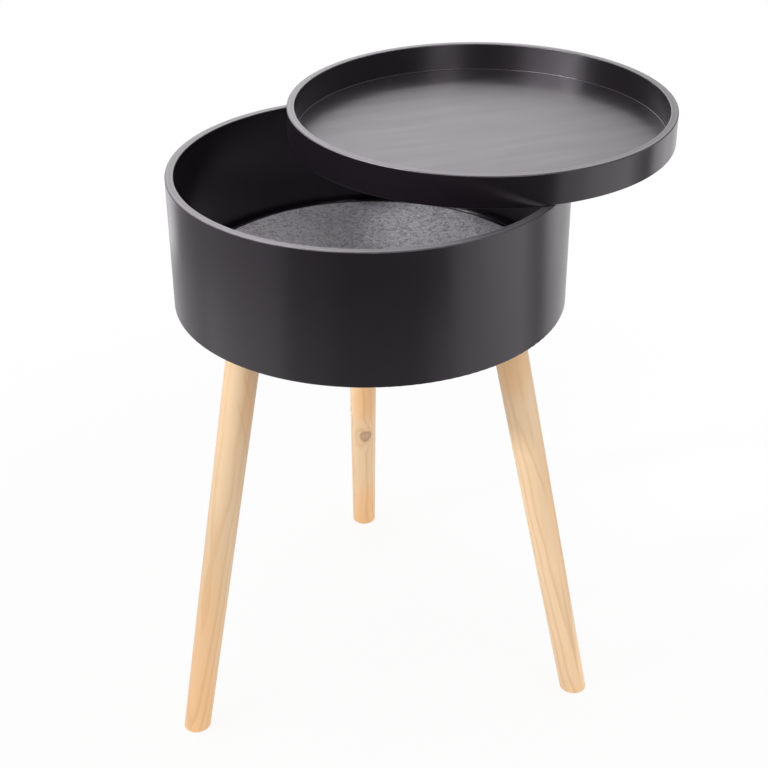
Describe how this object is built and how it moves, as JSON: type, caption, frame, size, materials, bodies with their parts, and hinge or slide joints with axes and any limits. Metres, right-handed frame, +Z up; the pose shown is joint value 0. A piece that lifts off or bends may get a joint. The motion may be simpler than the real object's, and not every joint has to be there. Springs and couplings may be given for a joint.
{
  "type": "lift top end table",
  "caption": "Round storage side table: a black drum lined with grey felt on splayed pine legs, closed by a loose tray top that lifts or slides off.",
  "frame": {"origin": "on the floor, at the centre of the whole table's outline seen from above, with the tray standing off to its side; the drum's axis is at x = -0.0513, y = -0.0428 m", "axes": "+Z up; -Y is the table's front, with a leg at front left and front right and one at the rear"},
  "size_m": [0.499, 0.4656, 0.5963],
  "materials": {
    "black_lacquer": "satin black lacquer on bent plywood and panel",
    "pale_pine": "clear matt lacquer on turned pine, grain along the leg",
    "grey_felt": "heathered needle felt",
    "zinc_steel": "bright zinc plate"
  },
  "bodies": {
    "base": {"drum_wall": "black_lacquer", "base_panel": "black_lacquer", "felt_liner": "grey_felt", "leg_left": "pale_pine", "leg_plate_left": "zinc_steel", "leg_nut_left": "zinc_steel", "leg_bolt_left": "zinc_steel", "plate_screws_left": "zinc_steel", "leg_right": "pale_pine", "leg_plate_right": "zinc_steel", "leg_nut_right": "zinc_steel", "leg_bolt_right": "zinc_steel", "plate_screws_right": "zinc_steel", "leg_rear": "pale_pine", "leg_plate_rear": "zinc_steel", "leg_nut_rear": "zinc_steel", "leg_bolt_rear": "zinc_steel", "plate_screws_rear": "zinc_steel"},
    "tray": {"tray_rim": "black_lacquer", "tray_floor": "black_lacquer"}
  },
  "joints": [
    {"name": "tray_slide", "type": "slide", "parent": "base", "child": "tray", "axis": [0.7912, 0.6115, 0], "range_m": [-0.14, 0.245]}
  ]
}
